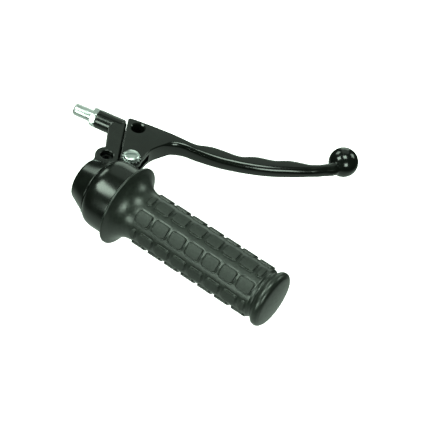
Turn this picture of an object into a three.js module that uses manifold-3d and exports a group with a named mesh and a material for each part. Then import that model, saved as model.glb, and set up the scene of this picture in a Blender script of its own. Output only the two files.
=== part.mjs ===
// Right-hand moped twist throttle with its brake lever.
// Frame: millimetres. The origin is on the handlebar axis at the inboard face of the clamp body.
// +X runs outboard along the handlebar, +Y points forward to the lever, +Z is up along the lever pivot.

import * as THREE from 'three';
import { mergeVertices } from 'three/addons/utils/BufferGeometryUtils.js';
import Module from 'manifold-3d';

const wasm = await Module();
wasm.setup();

const radians = THREE.MathUtils.degToRad;

// ---------------------------------------------------------------- driving dimensions

const BAR_RADIUS = 11;
const FIT_GAP = 0.3;
// How far a cut runs past the face where it starts or ends.
const OVERRUN = 1;

// Facets round large turned bodies, round hardware and round small holes.
const ROUND = 40;
const HARDWARE_ROUND = 24;
const HOLE_ROUND = 16;

// Clamp body: a cone that widens from the bar end to the drum cover.
const BODY_END_RADIUS = 13.9;
const BODY_SEAM_RADIUS = 20;
const BODY_LENGTH = 14.4;
const BODY_EDGE = 1.2;
const BODY_BORE_RADIUS = BAR_RADIUS + 0.15;

// Drum cover ring.
const COVER_START = 14.9;
const COVER_END = 34;
const COVER_RADIUS = 23.8;
const COVER_CAVITY_RADIUS = 19.6;
const COVER_WALL = 2.8;

// Two cover screws, sunk in the underside of the cone.
const SCREW_CIRCLE = 17.6;
const SCREW_ANGLES = [235, 305].map(radians);
const SCREW_SEAT = 11.6;
const SCREW_TIP = 23;
const SCREW_SHANK_RADIUS = 1.6;
const SCREW_HEAD_RADIUS = 2.9;
const SCREW_HEAD_HEIGHT = 2.4;
const SCREW_SLOT_WIDTH = 0.9;
const SCREW_POST_RADIUS = 2.4;

// Twist tube and cable drum.
const TUBE_INNER_RADIUS = BAR_RADIUS + 0.4;
const TUBE_RADIUS = 12.6;
const TUBE_END = 150.2;
const DRUM_START = 18.2;
const DRUM_END = 30.4;
const DRUM_RADIUS = 14.9;
const GROOVE_RADIUS = 13.2;
const GROOVE_X = 26;
const GROOVE_WIDTH = 2.2;
const POCKET_ANGLE = radians(100);
const POCKET_RADIUS = 1.7;

// Thrust washer and friction spring, between the body's end and the drum.
const RING_INNER_RADIUS = TUBE_INNER_RADIUS + FIT_GAP;
const RING_OUTER_RADIUS = DRUM_RADIUS - 0.5;
const WASHER_THICKNESS = 0.8;
const SPRING_RISE = 1.4;
const SPRING_THICKNESS = 0.6;

// Rubber grip.
const GRIP_START = 35;
const FLANGE_RADIUS = 27.5;
const RUBBER_RADIUS = 16.8;
const BULB_RADIUS = 18.9;
const GRIP_END = 152.8;

// Raised blocks on the rubber: straight rows and staggered rows take turns.
const BLOCK_RADIUS = 17.9;
const BLOCK_ROOT = 0.8;
const BLOCK_ROWS = 8;
const BLOCKS_PER_ROW = 7;
const BLOCK_PITCH = 13.1;
const BLOCK_LENGTH = 9.9;
const BLOCK_START = 51.6;
const BLOCK_SPREAD = radians(27);
const HALF_BLOCK_LENGTH = BLOCK_LENGTH - BLOCK_PITCH / 2;

// Perch arm and lever, both centred on the height of the bar axis.
const BLADE_HALF = 6;
const PIVOT = new THREE.Vector2(13.1, 31);
const BOSS_RADIUS = 7;
const TONGUE_HALF = 2.7;
const FORK_HALF = TONGUE_HALF + FIT_GAP;
const FORK_DEPTH = 45;
const ARM_EDGE = [[-17.5, 54.7], [-16.3, 43.3], [-5.9, 27.9], [-4, 12.4]];

// The straight gap between arm and lever: its foot, its lean from +Y, and the ledge that closes it below.
const GAP_FOOT = new THREE.Vector2(9.6, 20.6);
const GAP_LEAN = radians(30.5);
const GAP_LENGTH = 41;
const GAP_WIDTH = 1.1;
const LEDGE_START = 9;
const LEDGE_TOP = 2;

// Clamp lug with its pinch slit and sunk screw.
const LUG = new THREE.Vector2(0, 21.9);
const LUG_RADIUS = 7.8;
const LUG_BOTTOM = -BLADE_HALF - 0.5;
const LUG_RECESS_RADIUS = 4.1;
const LUG_RECESS_FLOOR = -0.6;
const SLIT_TOP = -2.4;
const SLIT_BOTTOM = -3.6;
const SLIT_FRONT = PIVOT.y - 0.2;
const CLAMP_SHANK_RADIUS = 2.4;
const CLAMP_SOCKET_RADIUS = 2.3;
const CLAMP_HEAD_HEIGHT = 3.2;
const CLAMP_WASHER_RADIUS = 4.6;
const CLAMP_NUT_FLATS = 8;
const CLAMP_NUT_HEIGHT = 4;

// Brake cable line: from the lever inboard through the arm and its boss.
const CABLE_ANGLE = radians(11.5);
const CABLE_POINT = new THREE.Vector2(-11, 53.9);
const CABLE_BOSS_RADIUS = 6.5;
const CABLE_BOSS_END = 19.2;
const CABLE_BORE_START = 5.2;
const CABLE_HOLE_RADIUS = 1.6;

// Throttle cable inlet below the front of the drum cover.
const INLET_RADIUS = 5;
const INLET_Y = GROOVE_RADIUS + 0.9;
const INLET_START = 10;
const INLET_END = 26;

// Barrel adjusters and lock nuts, as stations along their cable lines.
const SOCKET_DEPTH = 6;
const ADJUSTER_HOLE_RADIUS = 1.2;
const BRAKE_NUT = { flats: 11.6, start: CABLE_BOSS_END + FIT_GAP, end: CABLE_BOSS_END + FIT_GAP + 3.6 };
const BRAKE_BARREL = { start: 7, end: BRAKE_NUT.end + 13.5, shank: 3.3, head: 4.1, socket: 3 };
const THROTTLE_NUT = { flats: 8, start: INLET_END + FIT_GAP, end: INLET_END + FIT_GAP + 3 };
const THROTTLE_BARREL = { start: 15, end: THROTTLE_NUT.end + 9, shank: 2.4, head: 3.6, socket: 2.6 };

// Brake lever: flat root with the cable nipple's hole, waved shaft, ball end.
const NIPPLE = new THREE.Vector2(-1.7, 57);
const NIPPLE_RADIUS = 4.4;
const NIPPLE_FLOOR = -4;
const CABLE_SLOT = { length: 14, half: 1.2 };
const ARCH_ANGLE = 0.35;
const ARCH_TOP = new THREE.Vector2(17.7, 44);
const SHAFT_HALF = 4.5;
const SHAFT_ROUNDING = 1.8;
const SHAFT_OUTER_EDGE = [
  [36, 75.6], [42.8, 80.8], [52.2, 84.5], [61.4, 87.8], [68.6, 94.9], [80.9, 102.4],
  [87.3, 109.2], [94.4, 113.6], [102, 118.6], [106.4, 125.6], [108.8, 134],
];
const SHAFT_INNER_EDGE = [
  [113.2, 121.8], [106.6, 113], [95.1, 101.1], [82.7, 90], [68.1, 80.2], [52, 72.2], [38, 67.8], [27, 64],
];
const BALL = new THREE.Vector3(113.7, 137.7, 0);
const BALL_RADIUS = 10.2;

// Lever pivot: bush in the tongue, washer and screw head above the lever, nut below it.
const BUSH_RADIUS = 4.4;
const PIVOT_SHANK_RADIUS = 3;
const PIVOT_WASHER_RADIUS = 5.8;
const WASHER_BOTTOM = BLADE_HALF + FIT_GAP;
const WASHER_TOP = WASHER_BOTTOM + 0.7;
const PIVOT_HEAD_RADIUS = 5.4;
const PIVOT_HEAD_HEIGHT = 2.5;
const PIVOT_SLOT = { half: 0.7, depth: 1.3 };
const PIVOT_NUT_FLATS = 10;
const PIVOT_NUT_TOP = -BLADE_HALF - FIT_GAP;
const PIVOT_NUT_BOTTOM = PIVOT_NUT_TOP - 4.2;
const PIVOT_TIP = PIVOT_NUT_BOTTOM - 1.4;

// ---------------------------------------------------------------- materials

function finish(color, roughness, metalness) {
  return new THREE.MeshStandardMaterial({ color, roughness, metalness });
}

const BLACK_CASTING = finish(0x17181a, 0.42, 0.3);
const BLACK_LEVER = finish(0x101113, 0.22, 0.4);
const RUBBER = finish(0x1c1d1d, 0.8, 0);
const ZINC = finish(0xc9ccd0, 0.3, 1);
const NYLON = finish(0xd8d5c8, 0.5, 0);
const TUBE_PLASTIC = finish(0x2a2b2d, 0.45, 0);
const SPRING_STEEL = finish(0x8b8e92, 0.35, 1);

// ---------------------------------------------------------------- solid helpers

// Joins a closed geometry's vertices and makes it a solid with its faces outward.
function toSolid(geometry) {
  const bare = geometry.index ? geometry.toNonIndexed() : geometry.clone();
  bare.deleteAttribute('normal');
  bare.deleteAttribute('uv');
  const merged = mergeVertices(bare, 1e-4);
  const index = merged.index.array;
  const corners = [];
  for (let i = 0; i < index.length; i += 3) {
    const [a, b, c] = [index[i], index[i + 1], index[i + 2]];
    if (a !== b && b !== c && c !== a) corners.push(a, b, c);
  }
  const vertProperties = new Float32Array(merged.attributes.position.array);
  const build = () => new wasm.Manifold(
    new wasm.Mesh({ numProp: 3, vertProperties, triVerts: new Uint32Array(corners) }),
  );
  const solid = build();
  if (solid.volume() > 0) return solid;
  for (let i = 0; i < corners.length; i += 3) [corners[i], corners[i + 1]] = [corners[i + 1], corners[i]];
  return build();
}

function toGeometry(solid) {
  const mesh = solid.getMesh();
  const geometry = new THREE.BufferGeometry();
  geometry.setAttribute('position', new THREE.BufferAttribute(new Float32Array(mesh.vertProperties), 3));
  geometry.setIndex(new THREE.BufferAttribute(new Uint32Array(mesh.triVerts), 1));
  geometry.computeVertexNormals();
  return geometry;
}

// A body turned about +X, then placed by a matrix; each profile point is [x, radius].
function turned(profile, segments = ROUND, matrix = new THREE.Matrix4()) {
  const points = profile.map(([x, r]) => new THREE.Vector2(r, x));
  const onAxis = profile[0][1] === 0 && profile[profile.length - 1][1] === 0;
  if (!onAxis) points.push(points[0].clone());
  return toSolid(new THREE.LatheGeometry(points, segments).rotateZ(-Math.PI / 2).applyMatrix4(matrix));
}

// A round rod along +X, then placed by a matrix.
function rod(radius, start, end, matrix, segments = HARDWARE_ROUND) {
  const geometry = new THREE.CylinderGeometry(radius, radius, end - start, segments);
  geometry.rotateZ(-Math.PI / 2).translate((start + end) / 2, 0, 0).applyMatrix4(matrix);
  return toSolid(geometry);
}

// An upright round or many-sided post.
function post(center, radius, low, high, segments = HARDWARE_ROUND) {
  const geometry = new THREE.CylinderGeometry(radius, radius, high - low, segments);
  return toSolid(geometry.rotateX(Math.PI / 2).translate(center.x, center.y, (low + high) / 2));
}

function box([x0, x1], [y0, y1], [z0, z1], matrix = new THREE.Matrix4()) {
  const geometry = new THREE.BoxGeometry(x1 - x0, y1 - y0, z1 - z0);
  geometry.translate((x0 + x1) / 2, (y0 + y1) / 2, (z0 + z1) / 2);
  return toSolid(geometry.applyMatrix4(matrix));
}

// A plate with the given plan outline between two heights.
function plate(shape, low, high, curveSegments = 8, bevel = 0) {
  const geometry = new THREE.ExtrudeGeometry(shape, {
    depth: high - low - 2 * bevel,
    curveSegments,
    bevelEnabled: bevel > 0,
    bevelThickness: bevel,
    bevelSize: bevel,
    bevelOffset: -bevel,
    bevelSegments: 2,
  });
  return toSolid(geometry.translate(0, 0, low + bevel));
}

const vectors = (points) => points.map(([x, y]) => new THREE.Vector2(x, y));

// A matrix that lays +X on a line with the given origin and direction.
function lineMatrix(origin, direction) {
  const turn = new THREE.Quaternion().setFromUnitVectors(new THREE.Vector3(1, 0, 0), direction);
  return new THREE.Matrix4().compose(origin, turn, new THREE.Vector3(1, 1, 1));
}

const group = new THREE.Group();

function add(name, solid, material) {
  const mesh = new THREE.Mesh(toGeometry(solid), material);
  mesh.name = name;
  group.add(mesh);
}

// ---------------------------------------------------------------- lines and directions

const barLine = new THREE.Matrix4();
const alongCable = new THREE.Vector3(-Math.cos(CABLE_ANGLE), -Math.sin(CABLE_ANGLE), 0);
const brakeLine = lineMatrix(new THREE.Vector3(CABLE_POINT.x, CABLE_POINT.y, 0), alongCable);
const throttleLine = lineMatrix(new THREE.Vector3(GROOVE_X, INLET_Y, 0), new THREE.Vector3(0, 0, -1));
const pivotLine = lineMatrix(new THREE.Vector3(PIVOT.x, PIVOT.y, 0), new THREE.Vector3(0, 0, 1));

// A line parallel to the bar at a distance from it; the angle is taken from +Y to +Z.
function parallelLine(distance, angle) {
  const origin = new THREE.Vector3(0, distance * Math.cos(angle), distance * Math.sin(angle));
  return lineMatrix(origin, new THREE.Vector3(1, 0, 0));
}

// A point measured from the gap's foot: forward along the gap, then outboard across it.
const alongGap = new THREE.Vector2(-Math.sin(GAP_LEAN), Math.cos(GAP_LEAN));
const acrossGap = new THREE.Vector2(Math.cos(GAP_LEAN), Math.sin(GAP_LEAN));
const gapPoint = (along, across) => (
  GAP_FOOT.clone().addScaledVector(alongGap, along).addScaledVector(acrossGap, across)
);

// ---------------------------------------------------------------- clamp body with the perch

// The arm that carries the lever and the brake cable, with the ledge along its gap.
function perchArm() {
  const root = new THREE.Vector2(GAP_FOOT.x, 12.4);
  const outline = [GAP_FOOT, gapPoint(GAP_LENGTH, 0), ...vectors(ARM_EDGE), root];
  const ledgeEnd = GAP_LENGTH - 1;
  const reach = GAP_WIDTH - FIT_GAP;
  const ledge = [
    gapPoint(LEDGE_START, -1),
    gapPoint(LEDGE_START, reach),
    gapPoint(ledgeEnd, reach),
    gapPoint(ledgeEnd, -1),
  ];
  return plate(new THREE.Shape(outline), -BLADE_HALF, BLADE_HALF)
    .add(plate(new THREE.Shape(ledge), -BLADE_HALF, LEDGE_TOP))
    .add(rod(CABLE_BOSS_RADIUS, 2, CABLE_BOSS_END, brakeLine));
}

// The tongue that stands in the lever's fork and holds the pivot bush.
function perchTongue() {
  const radius = BOSS_RADIUS - 0.8;
  const outline = vectors([
    [-2, 38.5],
    [PIVOT.x - 4, PIVOT.y + radius - 0.6],
    [PIVOT.x, PIVOT.y + radius],
    [PIVOT.x, PIVOT.y - radius],
    [GAP_FOOT.x, GAP_FOOT.y - 3],
    [4, 24],
  ]);
  return plate(new THREE.Shape(outline), -TONGUE_HALF, TONGUE_HALF)
    .add(post(PIVOT, radius, -TONGUE_HALF, TONGUE_HALF));
}

function housingBody() {
  const cone = turned([
    [0, 0],
    [0, BODY_END_RADIUS - BODY_EDGE],
    [BODY_EDGE / 3, BODY_END_RADIUS - BODY_EDGE / 3],
    [BODY_EDGE, BODY_END_RADIUS + BODY_EDGE / 4],
    [BODY_LENGTH - 0.5, BODY_SEAM_RADIUS],
    [BODY_LENGTH, BODY_SEAM_RADIUS - 0.3],
    [BODY_LENGTH, 0],
  ]);
  const slitReach = [-20, BODY_LENGTH - 4];
  let body = cone
    .add(perchArm())
    .add(perchTongue())
    .add(post(LUG, LUG_RADIUS, LUG_BOTTOM, BLADE_HALF, 32))
    .subtract(rod(BODY_BORE_RADIUS, -20, BODY_LENGTH + OVERRUN, barLine, ROUND))
    .subtract(post(LUG, LUG_RECESS_RADIUS, LUG_RECESS_FLOOR, BLADE_HALF + OVERRUN))
    .subtract(post(LUG, CLAMP_SHANK_RADIUS + FIT_GAP, LUG_BOTTOM - OVERRUN, BLADE_HALF, HOLE_ROUND))
    .subtract(box(slitReach, [BAR_RADIUS - 2, SLIT_FRONT], [SLIT_BOTTOM, SLIT_TOP]))
    .subtract(box(slitReach, [SLIT_FRONT - 1.4, SLIT_FRONT], [-BLADE_HALF - OVERRUN, SLIT_TOP]))
    .subtract(rod(BRAKE_BARREL.shank + FIT_GAP, CABLE_BORE_START, CABLE_BOSS_END + OVERRUN, brakeLine))
    .subtract(rod(CABLE_HOLE_RADIUS, -4, CABLE_BOSS_END, brakeLine, HOLE_ROUND))
    .subtract(post(PIVOT, BUSH_RADIUS + FIT_GAP, -BLADE_HALF, BLADE_HALF));
  for (const angle of SCREW_ANGLES) {
    const line = parallelLine(SCREW_CIRCLE, angle);
    body = body
      .subtract(rod(SCREW_HEAD_RADIUS + 0.5, -2, SCREW_SEAT, line, HOLE_ROUND))
      .subtract(rod(SCREW_SHANK_RADIUS + FIT_GAP, 0, BODY_LENGTH + OVERRUN, line, HOLE_ROUND));
  }
  return body;
}

// ---------------------------------------------------------------- drum cover

function drumCover() {
  const shell = turned([
    [COVER_START, 0],
    [COVER_START, 20.3],
    [COVER_START + 0.6, 20.8],
    [17, 21.9],
    [18.6, 22.8],
    [21, 23.5],
    [24, COVER_RADIUS],
    [COVER_END - 1.2, COVER_RADIUS],
    [COVER_END - 0.4, COVER_RADIUS - 0.4],
    [COVER_END, COVER_RADIUS - 1],
    [COVER_END, 0],
  ]);
  const wallStart = COVER_END - COVER_WALL;
  const tubeHole = TUBE_RADIUS + 0.6;
  const cavity = turned([
    [COVER_START - OVERRUN, 0],
    [COVER_START - OVERRUN, COVER_CAVITY_RADIUS],
    [wallStart, COVER_CAVITY_RADIUS],
    [wallStart, tubeHole],
    [COVER_END + OVERRUN, tubeHole],
    [COVER_END + OVERRUN, 0],
  ]);
  const postEnd = SCREW_TIP + 1.5;
  const postRing = turned([
    [COVER_START, SCREW_CIRCLE - 3],
    [COVER_START, COVER_CAVITY_RADIUS + 0.4],
    [postEnd, COVER_CAVITY_RADIUS + 0.4],
    [postEnd, SCREW_CIRCLE - 3],
  ]);
  let cover = shell.add(rod(INLET_RADIUS, INLET_START, INLET_END, throttleLine)).subtract(cavity);
  for (const angle of SCREW_ANGLES) {
    // Two rods side by side make one post that reaches out to the cover's wall.
    for (const distance of [SCREW_CIRCLE, SCREW_CIRCLE + SCREW_POST_RADIUS]) {
      const line = parallelLine(distance, angle);
      cover = cover.add(rod(SCREW_POST_RADIUS, COVER_START, postEnd, line, HOLE_ROUND).intersect(postRing));
    }
  }
  for (const angle of SCREW_ANGLES) {
    const line = parallelLine(SCREW_CIRCLE, angle);
    const hole = SCREW_SHANK_RADIUS + FIT_GAP;
    cover = cover.subtract(rod(hole, COVER_START - OVERRUN, SCREW_TIP + 0.4, line, HOLE_ROUND));
  }
  return cover.subtract(rod(THROTTLE_BARREL.shank + FIT_GAP, 6, INLET_END + OVERRUN, throttleLine));
}

// A cheese-head screw with a slot, parallel to the bar.
function coverScrew(angle) {
  const line = parallelLine(SCREW_CIRCLE, angle);
  const seat = SCREW_SEAT - FIT_GAP;
  const top = seat - SCREW_HEAD_HEIGHT;
  const screw = turned([
    [top, 0],
    [top, SCREW_HEAD_RADIUS - 0.4],
    [top + 0.4, SCREW_HEAD_RADIUS],
    [seat, SCREW_HEAD_RADIUS],
    [seat, SCREW_SHANK_RADIUS],
    [SCREW_TIP - 0.6, SCREW_SHANK_RADIUS],
    [SCREW_TIP, SCREW_SHANK_RADIUS - 0.5],
    [SCREW_TIP, 0],
  ], HOLE_ROUND, line);
  const half = SCREW_SLOT_WIDTH / 2;
  const reach = SCREW_HEAD_RADIUS + OVERRUN;
  return screw.subtract(box([top - OVERRUN, top + OVERRUN], [-half, half], [-reach, reach], line));
}

// ---------------------------------------------------------------- twist tube and its rings

function throttleTube() {
  const half = GROOVE_WIDTH / 2;
  const tube = turned([
    [DRUM_START, TUBE_INNER_RADIUS],
    [DRUM_START, DRUM_RADIUS],
    [GROOVE_X - half, DRUM_RADIUS],
    [GROOVE_X - half, GROOVE_RADIUS],
    [GROOVE_X + half, GROOVE_RADIUS],
    [GROOVE_X + half, DRUM_RADIUS],
    [DRUM_END, DRUM_RADIUS],
    [DRUM_END, TUBE_RADIUS],
    [TUBE_END, TUBE_RADIUS],
    [TUBE_END, TUBE_INNER_RADIUS],
  ], 36);
  // The cable nipple's pocket opens the groove's outboard wall.
  const pocket = parallelLine(DRUM_RADIUS - 0.6, POCKET_ANGLE);
  return tube.subtract(rod(POCKET_RADIUS, GROOVE_X - 2.6, DRUM_END + OVERRUN, pocket, HOLE_ROUND));
}

function thrustWasher() {
  const end = DRUM_START - FIT_GAP;
  return turned([
    [end - WASHER_THICKNESS, RING_INNER_RADIUS],
    [end - WASHER_THICKNESS, RING_OUTER_RADIUS],
    [end, RING_OUTER_RADIUS],
    [end, RING_INNER_RADIUS],
  ], 32);
}

function frictionSpring() {
  const start = BODY_LENGTH + FIT_GAP;
  return turned([
    [start, RING_INNER_RADIUS],
    [start + SPRING_RISE, RING_OUTER_RADIUS],
    [start + SPRING_RISE + SPRING_THICKNESS, RING_OUTER_RADIUS],
    [start + SPRING_THICKNESS, RING_INNER_RADIUS],
  ], 32);
}

// ---------------------------------------------------------------- rubber grip

// One raised block: a sector of a ring, standing on the rubber.
function gripBlock(row, start, length) {
  const middle = row * (2 * Math.PI) / BLOCK_ROWS;
  const [low, high] = [middle - BLOCK_SPREAD / 2, middle + BLOCK_SPREAD / 2];
  const shape = new THREE.Shape();
  shape.absarc(0, 0, BLOCK_RADIUS, low, high, false);
  shape.absarc(0, 0, RUBBER_RADIUS - BLOCK_ROOT, high, low, true);
  const options = { depth: length, curveSegments: 2, bevelEnabled: false };
  const geometry = new THREE.ExtrudeGeometry(shape, options);
  // The section's two directions become +Y and +Z, and its depth becomes +X.
  const turn = new THREE.Matrix4().makeBasis(
    new THREE.Vector3(0, 1, 0),
    new THREE.Vector3(0, 0, 1),
    new THREE.Vector3(1, 0, 0),
  );
  return toSolid(geometry.applyMatrix4(turn).translate(start, 0, 0));
}

function rubberGrip() {
  let grip = turned([
    [GRIP_START + 2, TUBE_RADIUS + FIT_GAP],
    [GRIP_START + 2, 21],
    [GRIP_START, 23],
    [GRIP_START, FLANGE_RADIUS - 0.4],
    [GRIP_START + 0.4, FLANGE_RADIUS],
    [GRIP_START + 1.3, FLANGE_RADIUS],
    [GRIP_START + 2, FLANGE_RADIUS - 0.8],
    [38.2, 23.5],
    [40.2, 21],
    [42.6, 19.1],
    [45.4, 17.7],
    [48.4, 17],
    [51, RUBBER_RADIUS],
    [140.4, RUBBER_RADIUS],
    [142.6, 15.9],
    [144.2, 16.9],
    [145, 16.7],
    [146.2, 18.1],
    [147.6, BULB_RADIUS],
    [149, BULB_RADIUS - 0.1],
    [150.4, 17.9],
    [151.3, 16.3],
    [152, 13.2],
    [GRIP_END - 0.2, 7],
    [GRIP_END, 0],
    [TUBE_END + FIT_GAP, 0],
    [TUBE_END + FIT_GAP, TUBE_RADIUS + FIT_GAP],
  ]);
  for (let row = 0; row < BLOCK_ROWS; row += 1) {
    const staggered = row % 2 === 0;
    const start = BLOCK_START + (staggered ? BLOCK_PITCH / 2 : 0);
    const count = BLOCKS_PER_ROW - (staggered ? 1 : 0);
    for (let k = 0; k < count; k += 1) {
      grip = grip.add(gripBlock(row, start + k * BLOCK_PITCH, BLOCK_LENGTH));
    }
    if (staggered) {
      grip = grip
        .add(gripBlock(row, BLOCK_START, HALF_BLOCK_LENGTH))
        .add(gripBlock(row, start + count * BLOCK_PITCH, HALF_BLOCK_LENGTH));
    }
  }
  return grip;
}

// ---------------------------------------------------------------- brake lever

// Plan outline of the flat root: nipple corner, outer edge, step to the shaft, arch, pivot boss.
function leverRootShape() {
  const corner = gapPoint(GAP_LENGTH + 2.2, GAP_WIDTH);
  const bossTangent = gapPoint(alongGap.dot(PIVOT.clone().sub(GAP_FOOT)), GAP_WIDTH);
  const shape = new THREE.Shape();
  shape.moveTo(corner.x, corner.y);
  shape.lineTo(corner.x + 1, corner.y + 3.1);
  shape.quadraticCurveTo(12, 69.4, 36, 73.9);
  shape.lineTo(40, 69);
  shape.bezierCurveTo(27, 66.4, 17, 56, ARCH_TOP.x, ARCH_TOP.y);
  shape.lineTo(PIVOT.x + BOSS_RADIUS * Math.cos(ARCH_ANGLE), PIVOT.y + BOSS_RADIUS * Math.sin(ARCH_ANGLE));
  shape.absarc(PIVOT.x, PIVOT.y, BOSS_RADIUS, ARCH_ANGLE, GAP_LEAN - Math.PI, true);
  shape.lineTo(bossTangent.x, bossTangent.y);
  shape.closePath();
  return shape;
}

// Plan outline of the shaft: smooth toward the grip, three finger waves on the outer edge.
function leverShaftShape() {
  const shape = new THREE.Shape();
  shape.moveTo(24, 70.6);
  shape.splineThru(vectors(SHAFT_OUTER_EDGE));
  shape.lineTo(117, 134);
  shape.splineThru(vectors(SHAFT_INNER_EDGE));
  shape.closePath();
  return shape;
}

function brakeLever() {
  const ball = new THREE.SphereGeometry(BALL_RADIUS, 24, 14).translate(BALL.x, BALL.y, BALL.z);
  const through = [-BLADE_HALF - OVERRUN, BLADE_HALF + OVERRUN];
  const half = CABLE_SLOT.half;
  const slotLine = lineMatrix(new THREE.Vector3(NIPPLE.x, NIPPLE.y, 0), alongCable);
  return plate(leverRootShape(), -BLADE_HALF, BLADE_HALF)
    .add(plate(leverShaftShape(), -SHAFT_HALF, SHAFT_HALF, 2, SHAFT_ROUNDING))
    .add(toSolid(ball))
    .subtract(box([-40, 40], [0, FORK_DEPTH], [-FORK_HALF, FORK_HALF]))
    .subtract(post(PIVOT, PIVOT_SHANK_RADIUS + FIT_GAP, ...through))
    .subtract(post(NIPPLE, NIPPLE_RADIUS, NIPPLE_FLOOR, BLADE_HALF + OVERRUN))
    .subtract(box([0, CABLE_SLOT.length], [-half, half], [-half, half], slotLine));
}

// ---------------------------------------------------------------- hardware

// A flat ring or hexagon nut on an upright screw.
function uprightRing(center, radius, holeRadius, low, high, segments = HARDWARE_ROUND) {
  return post(center, radius, low, high, segments).subtract(post(center, holeRadius, low - 1, high + 1));
}

const hexagonRadius = (flats) => flats / Math.sqrt(3);

function pivotScrew() {
  const seat = WASHER_TOP + FIT_GAP;
  const top = seat + PIVOT_HEAD_HEIGHT;
  const screw = turned([
    [PIVOT_TIP, 0],
    [PIVOT_TIP, PIVOT_SHANK_RADIUS - 0.5],
    [PIVOT_TIP + 0.5, PIVOT_SHANK_RADIUS],
    [seat, PIVOT_SHANK_RADIUS],
    [seat, PIVOT_HEAD_RADIUS],
    [seat + 0.9, PIVOT_HEAD_RADIUS],
    [top - 0.8, PIVOT_HEAD_RADIUS - 0.9],
    [top - 0.3, PIVOT_HEAD_RADIUS - 2.4],
    [top, 0],
  ], HARDWARE_ROUND, pivotLine);
  const reach = PIVOT_HEAD_RADIUS + OVERRUN;
  return screw.subtract(box(
    [PIVOT.x - reach, PIVOT.x + reach],
    [PIVOT.y - PIVOT_SLOT.half, PIVOT.y + PIVOT_SLOT.half],
    [top - PIVOT_SLOT.depth, top + OVERRUN],
  ));
}

const CLAMP_WASHER_TOP = LUG_BOTTOM - FIT_GAP;
const CLAMP_NUT_TOP = CLAMP_WASHER_TOP - 1 - FIT_GAP;
const CLAMP_NUT_BOTTOM = CLAMP_NUT_TOP - CLAMP_NUT_HEIGHT;

function clampScrew() {
  const seat = LUG_RECESS_FLOOR + FIT_GAP;
  const top = seat + CLAMP_HEAD_HEIGHT;
  return post(LUG, LUG_RECESS_RADIUS - 0.4, seat, top)
    .add(post(LUG, CLAMP_SHANK_RADIUS, CLAMP_NUT_BOTTOM - 1, seat + 1, HOLE_ROUND))
    .subtract(post(LUG, CLAMP_SOCKET_RADIUS, top - 2, top + OVERRUN, 6));
}

// A barrel adjuster: threaded shank, round head with a bevelled end, socket and cable hole.
function barrelAdjuster(line, barrel, shoulder) {
  const solid = turned([
    [barrel.start, 0],
    [barrel.start, barrel.shank - 0.5],
    [barrel.start + 0.6, barrel.shank],
    [shoulder, barrel.shank],
    [shoulder, barrel.head],
    [barrel.end - 1.4, barrel.head],
    [barrel.end, barrel.head - 1],
    [barrel.end, 0],
  ], HARDWARE_ROUND, line);
  return solid
    .subtract(rod(ADJUSTER_HOLE_RADIUS, barrel.start - OVERRUN, barrel.end + OVERRUN, line, 12))
    .subtract(rod(barrel.socket, barrel.end - SOCKET_DEPTH, barrel.end + OVERRUN, line, HOLE_ROUND));
}

// A hexagon lock nut on a cable line.
function lockNut(line, nut, holeRadius) {
  return rod(hexagonRadius(nut.flats), nut.start, nut.end, line, 6)
    .subtract(rod(holeRadius, nut.start - OVERRUN, nut.end + OVERRUN, line));
}

// ---------------------------------------------------------------- assembly

add('housing_body', housingBody(), BLACK_CASTING);
add('drum_cover', drumCover(), BLACK_CASTING);
SCREW_ANGLES.forEach((angle, i) => add(`cover_screw_${i + 1}`, coverScrew(angle), ZINC));

const clampHole = CLAMP_SHANK_RADIUS + FIT_GAP;
add('clamp_screw', clampScrew(), ZINC);
add('clamp_washer', uprightRing(
  LUG, CLAMP_WASHER_RADIUS, clampHole, CLAMP_WASHER_TOP - 1, CLAMP_WASHER_TOP,
), ZINC);
add('clamp_nut', uprightRing(
  LUG, hexagonRadius(CLAMP_NUT_FLATS), clampHole, CLAMP_NUT_BOTTOM, CLAMP_NUT_TOP, 6,
), ZINC);

add('throttle_tube', throttleTube(), TUBE_PLASTIC);
add('rubber_grip', rubberGrip(), RUBBER);
add('thrust_washer', thrustWasher(), NYLON);
add('friction_spring', frictionSpring(), SPRING_STEEL);

const throttleShoulder = THROTTLE_NUT.end + FIT_GAP;
add('throttle_cable_adjuster', barrelAdjuster(throttleLine, THROTTLE_BARREL, throttleShoulder), ZINC);
add('throttle_adjuster_nut', lockNut(throttleLine, THROTTLE_NUT, THROTTLE_BARREL.shank + FIT_GAP), ZINC);
add('brake_cable_adjuster', barrelAdjuster(brakeLine, BRAKE_BARREL, BRAKE_NUT.end + FIT_GAP), ZINC);
add('brake_adjuster_nut', lockNut(brakeLine, BRAKE_NUT, BRAKE_BARREL.shank + FIT_GAP), ZINC);

const pivotHole = PIVOT_SHANK_RADIUS + FIT_GAP;
add('brake_lever', brakeLever(), BLACK_LEVER);
add('pivot_bush', uprightRing(PIVOT, BUSH_RADIUS, pivotHole, -TONGUE_HALF, TONGUE_HALF), SPRING_STEEL);
add('pivot_washer', uprightRing(PIVOT, PIVOT_WASHER_RADIUS, pivotHole, WASHER_BOTTOM, WASHER_TOP), ZINC);
add('pivot_screw', pivotScrew(), ZINC);
add('pivot_nut', uprightRing(
  PIVOT, hexagonRadius(PIVOT_NUT_FLATS), pivotHole, PIVOT_NUT_BOTTOM, PIVOT_NUT_TOP, 6,
), ZINC);

export default group;
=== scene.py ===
"""Outer surfaces, finishes and stage of a right-hand moped twist throttle with its brake lever."""
import math

import bmesh
import bpy
import numpy as np
from mathutils import Matrix, Vector


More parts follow.
